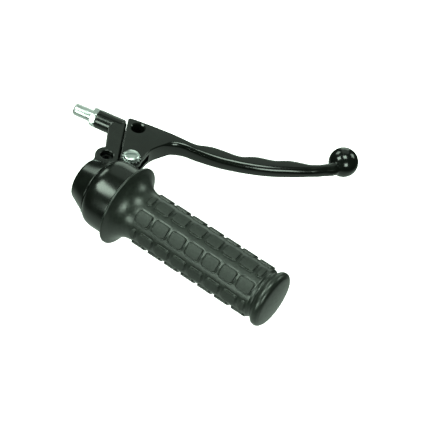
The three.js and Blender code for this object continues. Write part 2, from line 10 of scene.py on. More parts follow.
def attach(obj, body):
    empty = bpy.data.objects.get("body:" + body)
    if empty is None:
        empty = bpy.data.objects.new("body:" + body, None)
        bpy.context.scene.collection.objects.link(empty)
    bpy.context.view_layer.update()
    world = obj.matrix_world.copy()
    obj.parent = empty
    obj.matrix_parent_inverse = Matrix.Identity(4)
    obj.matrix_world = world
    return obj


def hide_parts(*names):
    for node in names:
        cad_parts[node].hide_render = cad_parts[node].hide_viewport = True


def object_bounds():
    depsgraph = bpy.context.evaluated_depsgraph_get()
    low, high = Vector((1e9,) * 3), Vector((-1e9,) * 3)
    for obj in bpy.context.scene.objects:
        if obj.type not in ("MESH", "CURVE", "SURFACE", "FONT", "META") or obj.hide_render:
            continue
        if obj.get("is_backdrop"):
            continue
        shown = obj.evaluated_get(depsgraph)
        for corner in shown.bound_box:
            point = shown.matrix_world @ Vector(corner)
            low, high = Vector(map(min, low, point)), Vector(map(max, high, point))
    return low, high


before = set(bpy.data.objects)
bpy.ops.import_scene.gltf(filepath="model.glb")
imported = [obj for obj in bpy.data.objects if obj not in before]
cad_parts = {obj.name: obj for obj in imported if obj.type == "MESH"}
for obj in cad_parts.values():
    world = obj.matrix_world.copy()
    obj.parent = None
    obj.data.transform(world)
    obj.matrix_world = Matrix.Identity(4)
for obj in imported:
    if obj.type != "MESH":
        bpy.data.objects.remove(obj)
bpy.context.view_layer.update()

bl_info = {
    "name": "Twist Throttle",
    "version": (1, 0, 0),
    "blender": (4, 5, 0),
    "location": "3D View > Sidebar > Throttle",
    "description": "Builds the surfaces, finishes and stage of a twist throttle with its brake lever",
    "category": "Add Mesh",
}

# Lengths in the shape functions are millimetres; meshes are stored in metres.
MM = 0.001

# The green cast of the lamps' diffusers.
LAMP_COLOUR = (0.80, 1.0, 0.84)

# Lines that the turned pieces stand on: an origin and the direction of the piece's own X.
CABLE_ANGLE = math.radians(11.5)
CABLE_AXIS = (-math.cos(CABLE_ANGLE), -math.sin(CABLE_ANGLE), 0.0)
CABLE_POINT = (-11.0, 53.9, 0.0)
PIVOT = (13.1, 31.0, 0.0)
LUG = (0.0, 21.9, 0.0)
NIPPLE = (-1.7, 57.0, 0.0)
INLET = (26.0, 14.1, 0.0)
UP = (0.0, 0.0, 1.0)
DOWN = (0.0, 0.0, -1.0)
OUTBOARD = (1.0, 0.0, 0.0)

# The radius of the circle that the cover screws stand on, and their angles from +Y towards +Z.
COVER_SCREW_CIRCLE = 17.6
COVER_SCREW_DEGREES = (235, 305)

# The grip's rows of blocks: where the first begins, one block's length, and from one to the next.
BLOCK_START = 51.6
BLOCK_LENGTH = 9.9
BLOCK_PITCH = 13.1
BLOCKS_A_ROW = 7
BLOCK_ROWS = 8

# The flat blade of arm and lever, and the straight gap between them.
BLADE_HALF = 6.0
GAP_FOOT = np.array([9.6, 20.6])
GAP_LEAN = math.radians(30.5)
ALONG_GAP = np.array([-math.sin(GAP_LEAN), math.cos(GAP_LEAN)])
ACROSS_GAP = np.array([math.cos(GAP_LEAN), math.sin(GAP_LEAN)])
GAP_WIDTH = 1.1


# ---------------------------------------------------------------- curves


def rounded(points, radius, steps=5):
    """Bridges each inner corner of an open line with a quadratic curve.

    The curve starts and ends a radius away from the corner, or 45% of a shorter side.
    """
    points = np.asarray(points, float)
    corner = points[1:-1]
    back, forth = points[:-2] - corner, points[2:] - corner
    back_length = np.linalg.norm(back, axis=1)
    forth_length = np.linalg.norm(forth, axis=1)
    cut = np.minimum(np.broadcast_to(radius, len(corner)), 0.45 * np.minimum(back_length, forth_length))
    start = corner + back * (cut / back_length)[:, None]
    end = corner + forth * (cut / forth_length)[:, None]
    s = np.linspace(0, 1, steps)[None, :, None]
    arc = (1 - s) ** 2 * start[:, None] + 2 * s * (1 - s) * corner[:, None] + s**2 * end[:, None]
    return np.vstack([points[:1], arc.reshape(-1, 2), points[-1:]])


def through(knots, values, at):
    """Cubic Hermite curve through the values; each slope comes from the two neighbours."""
    knots, values, at = (np.asarray(a, float) for a in (knots, values, at))
    slope = np.gradient(values, knots, axis=0)
    k = np.clip(np.searchsorted(knots, at, side="right") - 1, 0, len(knots) - 2)
    width = (knots[k + 1] - knots[k])[:, None]
    s = (at - knots[k])[:, None] / width
    return (
        (2 * s**3 - 3 * s**2 + 1) * values[k]
        + (s**3 - 2 * s**2 + s) * width * slope[k]
        + (3 * s**2 - 2 * s**3) * values[k + 1]
        + (s**3 - s**2) * width * slope[k + 1]
    )


def smooth_line(points, count):
    """Evenly spaced points on the curve through the given ones, by their distance apart."""
    points = np.asarray(points, float)
    knots = np.concatenate([[0], np.cumsum(np.linalg.norm(np.diff(points, axis=0), axis=1))])
    return through(knots, points, np.linspace(0, knots[-1], count))


def smooth_step(value):
    """0 below 0, 1 above 1, and 3t^2 - 2t^3 between."""
    t = np.clip(value, 0, 1)
    return t * t * (3 - 2 * t)


def gap_point(along, across=GAP_WIDTH):
    """A plan point measured from the foot of the gap between arm and lever."""
    return GAP_FOOT + along * ALONG_GAP + across * ACROSS_GAP


# ---------------------------------------------------------------- surfaces


def angles(segments):
    return np.arange(segments) * (2 * math.pi / segments)


def turned(profile, segments=96):
    """Carries a profile of (distance, radius) round the X axis: y = r cos a, z = r sin a."""
    profile = np.asarray(profile, float)
    a = angles(segments)
    x = np.repeat(profile[:, :1], segments, axis=1)
    return np.stack([x, profile[:, 1:] * np.cos(a), profile[:, 1:] * np.sin(a)], -1)


def hexagonal(flats, low, high, hole, segments=96):
    """A nut: the outer radius is the hexagon's, apothem / cos(a), held inside a cone at each end."""
    a = angles(segments)
    from_flat = np.mod(a, math.pi / 3) - math.pi / 6
    outer = flats / 2 / np.cos(from_flat)
    chamfer, depth, steepness = 0.93 * flats / math.sqrt(3), 0.16 * flats, 1.3
    t = np.array([0, 0.15, 0.3, 0.45, 0.6, 0.8, 1.0])[:, None] * depth
    ends = np.minimum(outer, chamfer + t * (flats / math.sqrt(3) - chamfer) / depth * steepness)
    rise = np.broadcast_to(t, ends.shape)
    inner = np.full((2, segments), hole)
    radius = np.vstack([inner[:1], ends, ends[::-1], inner[1:]])
    x = np.vstack([np.full((1, segments), low), low + rise, high - rise[::-1], np.full((1, segments), high)])
    return np.stack([x, radius * np.cos(a), radius * np.sin(a)], -1)


def closed(points):
    """Joins a ring's last row of points to its first, so that it has an inner wall."""
    return np.concatenate([points, points[:1]])


def laid(points, origin, direction):
    """Lays a piece's own X on a line; its own Z stays as near to up as it can."""
    x = np.asarray(direction, float)
    side = np.cross(UP, x) if abs(x[2]) < 0.9 else np.array([0.0, 1.0, 0.0])
    y = side / np.linalg.norm(side)
    z = np.cross(x, y)
    return points[..., :1] * x + points[..., 1:2] * y + points[..., 2:] * z + np.asarray(origin, float)


def bar_between(left, right, half, rounding, steps=6):
    """Carries a rounded bar section between two plan edges.

    At each station the section is as wide as the edges are apart and twice the half-height deep.
    Its corners are rounded, and the left and right edges may have radii of their own. Both ends
    close onto the middle of their section.
    """
    left, right = np.asarray(left, float), np.asarray(right, float)
    width = np.linalg.norm(right - left, axis=1)
    across = (right - left) / width[:, None]
    middle = (left + right) / 2
    half = np.broadcast_to(half, len(left))
    rounding = np.asarray(rounding, float)
    rounding = np.broadcast_to(rounding if rounding.ndim else rounding[None, None], (len(left), 2))
    turn = np.concatenate([np.linspace(q, q + 1, steps) for q in range(4)]) * math.pi / 2
    side = np.repeat([1, -1, -1, 1], steps)
    top = np.repeat([1, 1, -1, -1], steps)
    r = np.where(side > 0, rounding[:, 1:], rounding[:, :1])
    r = np.minimum(r, np.minimum(width / 2, half)[:, None] * 0.999)
    out = side * (width[:, None] / 2 - r) + r * np.cos(turn)
    z = top * (half[:, None] - r) + r * np.sin(turn)
    plan = middle[:, None] + out[..., None] * across[:, None]
    rows = np.concatenate([plan, z[..., None]], -1)
    caps = np.concatenate([middle, np.zeros((len(middle), 1))], -1)[:, None] + np.zeros((1, len(turn), 1))
    return np.concatenate([caps[:1], rows, caps[-1:]])


def box_points(low, high, turn=0.0, centre=(0.0, 0.0, 0.0)):
    """A block's eight corners as a tube of four, closed at both ends onto its axis."""
    (x0, y0, z0), (x1, y1, z1) = low, high
    ring = np.array([[y0, z0], [y1, z0], [y1, z1], [y0, z1]])
    middle = np.broadcast_to(ring.mean(0), ring.shape)
    rows = [(x0, middle), (x0, ring), (x1, ring), (x1, middle)]
    points = np.stack([np.column_stack([np.full(4, x), yz]) for x, yz in rows])
    c, s = math.cos(turn), math.sin(turn)
    return points @ np.array([[c, s, 0], [-s, c, 0], [0, 0, 1]]) + np.asarray(centre, float)


# ---------------------------------------------------------------- meshes


def weld(mesh, distance=1e-7):
    """Closes seams and poles, drops slivers and turns the faces outward."""
    work = bmesh.new()
    work.from_mesh(mesh)
    bmesh.ops.remove_doubles(work, verts=work.verts, dist=distance)
    bmesh.ops.dissolve_degenerate(work, edges=work.edges, dist=distance)
    bmesh.ops.recalc_face_normals(work, faces=work.faces)
    work.to_mesh(mesh)
    work.free()
    return mesh


def mesh_of(name, points):
    """Makes a grid of points, closed along its second direction, into a mesh with outward faces."""
    rows, columns = points.shape[:2]
    grid = np.arange(rows * columns).reshape(rows, columns)
    beside = np.roll(grid, -1, axis=1)
    quads = np.stack([grid[:-1], beside[:-1], beside[1:], grid[1:]], -1).reshape(-1, 4)
    mesh = bpy.data.meshes.new(name)
    mesh.vertices.add(rows * columns)
    mesh.vertices.foreach_set("co", (points * MM).ravel())
    mesh.loops.add(quads.size)
    mesh.loops.foreach_set("vertex_index", quads.ravel())
    mesh.polygons.add(len(quads))
    mesh.polygons.foreach_set("loop_start", np.arange(len(quads)) * 4)
    mesh.update(calc_edges=True)
    return weld(mesh)


def solid(name, points):
    shape = bpy.data.objects.new(name, mesh_of(name, points))
    bpy.context.scene.collection.objects.link(shape)
    return shape


def bake_modifiers(shape):
    """Puts the modifiers' result into the mesh."""
    bpy.context.view_layer.update()
    evaluated = shape.evaluated_get(bpy.context.evaluated_depsgraph_get())
    made = bpy.data.meshes.new_from_object(evaluated)
    old = shape.data
    shape.modifiers.clear()
    shape.data = made
    made.name = shape.name
    bpy.data.meshes.remove(old)


def combine(shape, operation, grids):
    """Joins grids to a solid or cuts them from it, one after another."""
    for points in grids:
        tool = solid("tool", points)
        modifier = shape.modifiers.new("combine", "BOOLEAN")
        modifier.operation = operation
        modifier.solver = "EXACT"
        modifier.object = tool
        bake_modifiers(shape)
        old = tool.data
        bpy.data.objects.remove(tool)
        bpy.data.meshes.remove(old)
    weld(shape.data, 2e-6)
    if not shape.data.polygons:
        raise RuntimeError(f"{shape.name} lost its faces in a join or cut")
    return shape


def cast(shape, voxel, passes):
    """Rebuilds a joined solid as one skin and softens its corners, as a casting's are."""
    remesh = shape.modifiers.new("skin", "REMESH")
    remesh.mode = "VOXEL"
    remesh.voxel_size = voxel * MM
    soften = shape.modifiers.new("soften", "SMOOTH")
    soften.factor = 0.5
    soften.iterations = passes
    bake_modifiers(shape)
    return shape


def hand_in(shape, body, slot, material, *nodes, sharp=35.0):
    """Shades a finished piece, gives it its material and fixes it to its body."""
    shape.data.materials.clear()
    shape.data.materials.append(material)
    shape.data.shade_smooth()
    shape.data.set_sharp_from_angle(angle=math.radians(sharp))
    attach(shape, body)
    if nodes:
        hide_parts(*nodes)
    return shape


# ---------------------------------------------------------------- materials


def linear(code):
    """An sRGB hex colour as linear red, green, blue and alpha."""
    srgb = np.array([int(code[i : i + 2], 16) for i in (1, 3, 5)]) / 255
    low, high = srgb / 12.92, ((srgb + 0.055) / 1.055) ** 2.4
    return (*np.where(srgb <= 0.04045, low, high), 1.0)


def add_node(tree, kind, inputs=None, **settings):
    """Adds a node, sets its properties and fills or links its inputs."""
    node = tree.nodes.new(kind)
    for name, value in settings.items():
        setattr(node, name, value)
    for name, value in (inputs or {}).items():
        if isinstance(value, bpy.types.NodeSocket):
            tree.links.new(value, node.inputs[name])
        else:
            node.inputs[name].default_value = value
    return node


def new_material(name, **shader_inputs):
    """A material with one Principled shader; returns it, its tree, the shader and Object coordinates."""
    material = bpy.data.materials.new(name)
    material.use_nodes = True
    tree = material.node_tree
    shader = tree.nodes["Principled BSDF"]
    for socket, value in shader_inputs.items():
        shader.inputs[socket.replace("_", " ")].default_value = value
    place = add_node(tree, "ShaderNodeTexCoord").outputs["Object"]
    return material, tree, shader, place


def per_metre(millimetres):
    """A texture scale whose features are that many millimetres apart."""
    return 1.0 / (millimetres * MM)


def mottle(tree, place, size, dark, light, detail=4.0):
    """A colour that wanders between two, over patches of a size in millimetres."""
    pattern = {"Vector": place, "Scale": per_metre(size), "Detail": detail}
    noise = add_node(tree, "ShaderNodeTexNoise", pattern)
    ramp = add_node(tree, "ShaderNodeValToRGB", {"Fac": noise.outputs["Fac"]})
    for stop, position, colour in zip(ramp.color_ramp.elements, (0.35, 0.65), (dark, light)):
        stop.position = position
        stop.color = linear(colour)
    return ramp.outputs["Color"]


def uneven(tree, place, size, low, high, detail=3.0):
    """A number that wanders between two, over patches of a size in millimetres."""
    pattern = {"Vector": place, "Scale": per_metre(size), "Detail": detail}
    noise = add_node(tree, "ShaderNodeTexNoise", pattern)
    return add_node(tree, "ShaderNodeMapRange", {
        "Value": noise.outputs["Fac"], "From Min": 0.3, "From Max": 0.7, "To Min": low, "To Max": high,
    }).outputs["Result"]


def relief(tree, place, size, depth, detail=2.0, normal=None):
    """Bump from noise; its size and depth are in millimetres."""
    pattern = {"Vector": place, "Scale": per_metre(size), "Detail": detail}
    noise = add_node(tree, "ShaderNodeTexNoise", pattern)
    links = {"Height": noise.outputs["Fac"], "Distance": depth * MM}
    if normal is not None:
        links["Normal"] = normal
    return add_node(tree, "ShaderNodeBump", links).outputs["Normal"]


def link_input(tree, shader, **sockets):
    for name, output in sockets.items():
        tree.links.new(output, shader.inputs[name.replace("_", " ")])


def casting_paint(colour):
    """Satin black stove enamel on an aluminium die casting.

    A faint orange peel about 1.5 mm across breaks up the reflections, over the casting's finer skin.
    """
    material, tree, shader, place = new_material("satin_black_stove_enamel", IOR=1.5)
    peel = relief(tree, place, 1.5, 0.004)
    link_input(
        tree, shader,
        Base_Color=mottle(tree, place, 6, colour, "#101310"),
        Roughness=uneven(tree, place, 5, 0.19, 0.23),
        Normal=relief(tree, place, 0.35, 0.0012, normal=peel),
    )
    return material


def lever_paint(colour):
    """Gloss black enamel on the polished lever: sharper highlights, with a light haze from handling."""
    material, tree, shader, place = new_material("gloss_black_enamel", IOR=1.5)
    link_input(
        tree, shader,
        Base_Color=mottle(tree, place, 8, colour, "#0e110e"),
        Roughness=uneven(tree, place, 4, 0.14, 0.18),
        Normal=relief(tree, place, 2.0, 0.003),
    )
    return material


def grip_rubber(colour):
    """Compression-moulded black rubber.

    The skin between the blocks keeps the mould's polish. The tops are dulled by an eroded grain, about
    0.5 mm across and 0.03 mm deep.
    """
    material, tree, shader, place = new_material("moulded_rubber", IOR=1.52)
    raised = add_node(tree, "ShaderNodeAttribute", attribute_name="raised").outputs["Fac"]
    shader.inputs["Sheen Weight"].default_value = 0.04
    shader.inputs["Sheen Roughness"].default_value = 0.5
    polished = uneven(tree, place, 2.5, 0.3, 0.38)
    dulled = uneven(tree, place, 1.0, 0.5, 0.62)
    roughness = add_node(tree, "ShaderNodeMix", {0: raised, 2: polished, 3: dulled}).outputs[0]
    grain = add_node(tree, "ShaderNodeTexNoise", {"Vector": place, "Scale": per_metre(0.5), "Detail": 4.0})
    depth = add_node(tree, "ShaderNodeMath", {0: raised, 1: grain.outputs["Fac"]}, operation="MULTIPLY")
    skin = add_node(tree, "ShaderNodeBump", {"Height": depth.outputs[0], "Distance": 0.03 * MM})
    link_input(
        tree, shader,
        Base_Color=mottle(tree, place, 2.2, colour, "#1b201b", detail=6),
        Roughness=roughness,
        Normal=relief(tree, place, 4, 0.03, normal=skin.outputs["Normal"]),
    )
    return material


def bright_zinc(colour):
    """Bright zinc plate on turned steel: pale grey, with faint patches in its shine."""
    material, tree, shader, place = new_material("bright_zinc_plate", Metallic=1.0)
    link_input(
        tree, shader,
        Base_Color=mottle(tree, place, 3, colour, "#d2d8d7"),
        Roughness=uneven(tree, place, 1.2, 0.27, 0.36),
        Normal=relief(tree, place, 0.6, 0.0006),
    )
    return material


def black_oxide(colour):
    """Blackened steel of the sunk pinch screw: dark grey metal with a dull oiled skin."""
    material, tree, shader, place = new_material("black_oxide_steel", Metallic=1.0)
    link_input(
        tree, shader,
        Base_Color=mottle(tree, place, 1.5, colour, "#4a4d4c"),
        Roughness=uneven(tree, place, 1, 0.32, 0.5),
        Normal=relief(tree, place, 0.3, 0.006),
    )
    return material


def spring_steel(colour):
    """Plain rolled spring steel: even grey, with faint oily patches."""
    material, tree, shader, place = new_material("rolled_spring_steel", Metallic=1.0)
    link_input(
        tree, shader,
        Base_Color=mottle(tree, place, 2, colour, "#a2a5a6"),
        Roughness=uneven(tree, place, 1, 0.25, 0.4),
    )
    return material


def moulded_nylon(name, dark, light):
    """Injection-moulded nylon: slightly waxy, with soft flow patches."""
    material, tree, shader, place = new_material(name, IOR=1.53)
    link_input(
        tree, shader,
        Base_Color=mottle(tree, place, 5, dark, light),
        Roughness=uneven(tree, place, 2, 0.38, 0.52),
        Normal=relief(tree, place, 0.6, 0.01),
    )
    return material


# ---------------------------------------------------------------- settings


class ThrottleGripSettings(bpy.types.PropertyGroup):
    """Sizes and colour of the rubber grip."""

    rubber_radius: bpy.props.FloatProperty(
        name="Rubber Radius", description="Radius between the blocks", default=0.0168, unit="LENGTH")
    block_height: bpy.props.FloatProperty(
        name="Block Height", description="How far a block stands proud", default=0.0011, unit="LENGTH")
    block_corner: bpy.props.FloatProperty(
        name="Block Corner", description="Corner radius of a block", default=0.0017, unit="LENGTH")
    block_spread: bpy.props.FloatProperty(
        name="Block Spread", description="Angle that a block covers", default=math.radians(27),
        subtype="ANGLE")
    colour: bpy.props.StringProperty(
        name="Rubber Colour", description="sRGB hex colour of the rubber", default="#111511")


class ThrottleBodySettings(bpy.types.PropertyGroup):
    """Sizes and colour of the clamp body and drum cover."""

    end_radius: bpy.props.FloatProperty(
        name="End Radius", description="Radius of the cone's small end", default=0.0139, unit="LENGTH")
    seam_radius: bpy.props.FloatProperty(
        name="Seam Radius", description="Radius of the cone at the cover", default=0.02, unit="LENGTH")
    cover_radius: bpy.props.FloatProperty(
        name="Cover Radius", description="Radius of the drum cover", default=0.0238, unit="LENGTH")
    colour: bpy.props.StringProperty(
        name="Casting Colour", description="sRGB hex colour of the enamel", default="#0a0c0a")


class ThrottleLeverSettings(bpy.types.PropertyGroup):
    """Sizes and colour of the brake lever."""

    ball_radius: bpy.props.FloatProperty(
        name="Ball Radius", description="Radius of the ball end", default=0.0102, unit="LENGTH")
    neck_radius: bpy.props.FloatProperty(
        name="Neck Radius", description="Radius where the shaft meets the ball", default=0.0045,
        unit="LENGTH")
    colour: bpy.props.StringProperty(
        name="Lever Colour", description="sRGB hex colour of the enamel", default="#090b09")


class ThrottleHardwareSettings(bpy.types.PropertyGroup):
    """Sizes and colours of screws, nuts, washers and adjusters."""

    washer_teeth: bpy.props.IntProperty(
        name="Washer Teeth", description="Teeth round the lock washer", default=16, min=6)
    zinc_colour: bpy.props.StringProperty(
        name="Zinc Colour", description="sRGB hex colour of the bright plate", default="#c3c9c8")
    oxide_colour: bpy.props.StringProperty(
        name="Oxide Colour", description="sRGB hex colour of the blackened screw", default="#2b2d2c")


class ThrottleStageSettings(bpy.types.PropertyGroup):
    """The floor, lamps and camera."""

    floor_drop: bpy.props.FloatProperty(
        name="Floor Drop", description="Gap between the part and the floor", default=0.02, unit="LENGTH")
    lamp_distance: bpy.props.FloatProperty(
        name="Lamp Distance", description="How far the lamps stand from the part", default=2.2,
        unit="LENGTH")
    lens: bpy.props.FloatProperty(
        name="Lens", description="Focal length on a 36 mm sensor, in millimetres", default=131.4)


# ---------------------------------------------------------------- rubber grip


def block_relief(x, angle, settings):
    """Height of the moulded blocks above the rubber at a distance along the bar and an angle round it.

    Each block is a rounded rectangle. Its height is a smooth step of the distance inside its edge,
    and a shallow moat runs round its foot. Every second row is shifted by half a pitch and has a
    short block at each end.
    """
    pitch, length, start = BLOCK_PITCH, BLOCK_LENGTH, BLOCK_START
    end = start + (BLOCKS_A_ROW - 1) * pitch + length
    outer = settings.rubber_radius / MM + settings.block_height / MM
    step = 2 * math.pi / BLOCK_ROWS
    row = np.round(angle / step)
    round_the_bar = np.abs(angle - row * step) * outer
    shift = np.where(np.mod(row, 2) == 0, pitch / 2, 0.0)
    local = np.mod(x - start - shift, pitch)
    from_end = np.minimum(x - start, end - x)
    into_block = np.minimum(local, length - local)
    into_channel = np.minimum(local - length, pitch - local)
    nearest = np.where(local < length, into_block, -into_channel)
    inside_x = np.minimum(nearest, from_end)
    inside_a = outer * settings.block_spread / 2 - round_the_bar
    corner = settings.block_corner / MM
    into = np.minimum(inside_x, inside_a)
    near_corner = np.hypot(np.minimum(inside_x - corner, 0), np.minimum(inside_a - corner, 0))
    inside = np.where((inside_x < corner) & (inside_a < corner), corner - near_corner, into)
    wall, moat_depth, moat_offset, moat_width = 0.3, 0.24, 0.45, 0.32
    margin, fade = 1.2, 0.8
    raised = smooth_step(inside / wall + 0.5) * settings.block_height / MM
    trough = moat_depth * np.exp(-(((inside + moat_offset) / moat_width) ** 2))
    zone = smooth_step((x - start + margin) / fade) * smooth_step((end + margin - x) / fade)
    return (raised - trough) * zone


def clustered(edges, offsets):
    """Grid lines gathered round each edge."""
    return np.sort((np.asarray(edges)[:, None] + np.asarray(offsets)).ravel())


def grip_points(settings):
    """Carries the grip's profile round the bar, then lifts the blocks out of it.

    The profile runs from the blind end's inner wall, out along the bore, round the flange's hollow
    back and its rim, down the bell and over the end bulb to the domed end.
    """
    base = settings.rubber_radius / MM
    inner = rounded([(150.5, 0), (150.5, 12.9), (37, 12.9), (37, 20.8), (35.05, 23.2), (35, 26.9)], 0.3, 4)
    rim = [(35.05, 27.3), (35.25, 27.5), (36.15, 27.5), (36.35, 27.4), (36.5, 27.1), (36.7, 26.6)]
    bell = smooth_line([
        (36.95, 26), (37.5, 24.6), (38.2, 23.3), (39.2, 22), (40.6, 20.6), (42.4, 19.2),
        (44.6, 18.05), (47.4, 17.2), (49.6, 16.87), (50.6, base),
    ], 34)
    starts = BLOCK_START + BLOCK_PITCH * np.arange(BLOCKS_A_ROW)
    short_block = BLOCK_LENGTH - BLOCK_PITCH / 2
    edges = (starts[:, None] + np.array([0, short_block, BLOCK_PITCH / 2, BLOCK_LENGTH])).ravel()
    stretch = clustered(edges, [-1.35, -0.9, -0.5, -0.26, -0.09, 0.09, 0.26, 0.5, 0.9, 1.35])
    middle = np.column_stack([stretch, np.full(len(stretch), base)])
    bulb = smooth_line([
        (141.6, 16.75), (142.3, 16.2), (143.2, 15.9), (144.1, 16.15), (145, 17.1), (146, 18.15),
        (147.1, 18.75), (148.3, 18.9), (149.4, 18.7), (150.2, 18.2), (150.65, 17.7),
    ], 44)
    end = smooth_line([
        (150.72, 17.45), (150.95, 17.3), (151.2, 16.9), (151.6, 15.4), (152, 12.6), (152.4, 8.8),
        (152.68, 4.6), (152.8, 0),
    ], 24)
    profile = np.vstack([inner, rim, bell, middle, bulb, end])
    spread = math.degrees(settings.block_spread) / 2
    offsets = np.array([0.35, 0.95, 1.8, 3.2, 5.4, 8.0, 10.8])
    outward = np.array([0.35, 0.95, 1.8, 3.2, 5.2, 7.4])
    half_row = np.concatenate([spread - offsets, spread + outward])
    row_step = 360 / BLOCK_ROWS
    columns = np.concatenate([-half_row, half_row, [0.0, row_step / 2]])
    around = np.sort(np.radians((row_step * np.arange(BLOCK_ROWS)[:, None] + columns).ravel()))
    x = np.broadcast_to(profile[:, :1], (len(profile), len(around)))
    lift = block_relief(x, around[None, :], settings)
    outside = (profile[:, 1] > base - 0.01)[:, None]
    radius = profile[:, 1:] + np.where(outside, lift, 0.0)
    return np.stack([x, radius * np.cos(around), radius * np.sin(around)], -1)


def mark_block_tops(mesh, settings):
    """Stores how far each point stands up a block, 0 between the blocks and 1 on their tops."""
    points = np.empty(len(mesh.vertices) * 3)
    mesh.vertices.foreach_get("co", points)
    points = points.reshape(-1, 3)
    height = (np.hypot(points[:, 1], points[:, 2]) - settings.rubber_radius) / settings.block_height
    first, last = 0.051, 0.1405
    among_blocks = (points[:, 0] > first) & (points[:, 0] < last)
    raised = mesh.attributes.new("raised", "FLOAT", "POINT")
    raised.data.foreach_set("value", np.where(among_blocks, smooth_step(height), 0.0))


class THROTTLE_OT_rubber_grip(bpy.types.Operator):
    """Build the moulded rubber grip with its blocks, bell, flange and end bulb"""

    bl_idname = "throttle.rubber_grip"
    bl_label = "Rubber Grip"

    def execute(self, context):
        settings = context.scene.throttle_grip
        grip = solid("grip_rubber", grip_points(settings))
        mark_block_tops(grip.data, settings)
        hand_in(grip, "throttle_roll", "rubber", grip_rubber(settings.colour), "rubber_grip", sharp=60)
        return {"FINISHED"}


# ---------------------------------------------------------------- clamp body and cover


def rod_points(radius, start, end, origin, direction, segments=64):
    """A round rod along a line."""
    profile = [(start, 0), (start, radius), (end, radius), (end, 0)]
    return laid(turned(profile, segments), origin, direction)


def cover_screw_place(degrees):
    """A point on the cover screws' circle, at an angle from +Y towards +Z."""
    a = math.radians(degrees)
    return 0.0, COVER_SCREW_CIRCLE * math.cos(a), COVER_SCREW_CIRCLE * math.sin(a)


def perch_arm_points():
    """The flat arm: a rounded bar between its inboard edge and the straight gap face."""
    knots = [0, 1, 2, 3]
    left = [(-4, 12.4), (-5.9, 27.9), (-16.3, 43.3), (-17.3, 54.6)]
    right = [(9.6, 12.4), gap_point(2, 0), gap_point(22, 0), gap_point(41, 0)]
    edges = np.column_stack([left, right])
    at = np.linspace(0, 3, 10)
    straight = np.stack([np.interp(at, knots, edges[:, k]) for k in range(4)], -1)
    return bar_between(straight[:, :2], straight[:, 2:], BLADE_HALF, 0.7)


class THROTTLE_OT_clamp_body(bpy.types.Operator):
    """Build the cast clamp body: cone, perch arm, cable boss, pinch lug and pivot tongue"""

    bl_idname = "throttle.clamp_body"
    bl_label = "Clamp Body"

    def execute(self, context):
        settings = context.scene.throttle_body
        end, seam = settings.end_radius / MM, settings.seam_radius / MM
        outline = [(0, 0), (0, end + 0.1), (13.85, seam + 0.05), (14.4, seam - 0.5), (14.4, 0)]
        cone = turned(rounded(outline, [1.7, 0.25, 0.2], 6), 128)
        body = solid("body_casting", cone)
        lug = laid(turned(rounded([(-6.5, 0), (-6.5, 7.8), (6, 7.8), (6, 0)], 0.6)), LUG, UP)
        boss_outline = [(1, 0), (1, 6.5), (19.2, 6.5), (19.2, 0)]
        boss = laid(turned(rounded(boss_outline, 0.5)), CABLE_POINT, CABLE_AXIS)
        ledge_left = np.array([gap_point(9, -1), gap_point(41, -1)])
        ledge_right = np.array([gap_point(9, 0.8), gap_point(41, 0.8)])
        ledge = bar_between(ledge_left, ledge_right, 5.4, 0.3) - np.array([0, 0, 0.6])
        tongue_left = np.array([(4.0, 18), (2, 24), (-1, 32), (-2, 38.4)])
        tongue_right = np.array([(9.6, 18), (15.6, 25.6), (19.2, 31), (13.1, 37.1)])
        tongue = bar_between(tongue_left, tongue_right, 2.7, 0.3)
        combine(body, "UNION", [perch_arm_points(), lug, boss, ledge, tongue])
        bar_bore = [(-20, 0), (-20, 12.6), (0.0, 12.05), (0.9, 11.15), (20, 11.15), (20, 0)]
        lug_recess = [(-0.6, 0), (-0.6, 4.1), (5.5, 4.1), (6.1, 4.7), (9, 4.7), (9, 0)]
        cable_bore = [(5.2, 0), (5.2, 3.6), (18.8, 3.6), (19.3, 4.1), (22, 4.1), (22, 0)]
        holes = [
            laid(turned(bar_bore, 96), (0, 0, 0), OUTBOARD),
            laid(turned(lug_recess, 64), LUG, UP),
            rod_points(2.7, -9, 5, LUG, UP, 32),
            box_points((-20, 9, -3.6), (10.4, 30.8, -2.4)),
            box_points((-20, 29.4, -7), (10.4, 30.8, -2.4)),
            laid(turned(cable_bore, 64), CABLE_POINT, CABLE_AXIS),
            rod_points(1.6, -6, 8, CABLE_POINT, CABLE_AXIS, 32),
            rod_points(4.7, -8, 8, PIVOT, UP),
        ]
        for degrees in COVER_SCREW_DEGREES:
            line = cover_screw_place(degrees)
            holes.append(rod_points(3.4, -2, 11.6, line, OUTBOARD, 48))
            holes.append(rod_points(1.9, 0, 16, line, OUTBOARD, 32))
        combine(body, "DIFFERENCE", holes)
        cast(body, voxel=0.335, passes=5)
        hand_in(body, "housing", "black_casting", casting_paint(settings.colour), "housing_body", sharp=180)
        return {"FINISHED"}


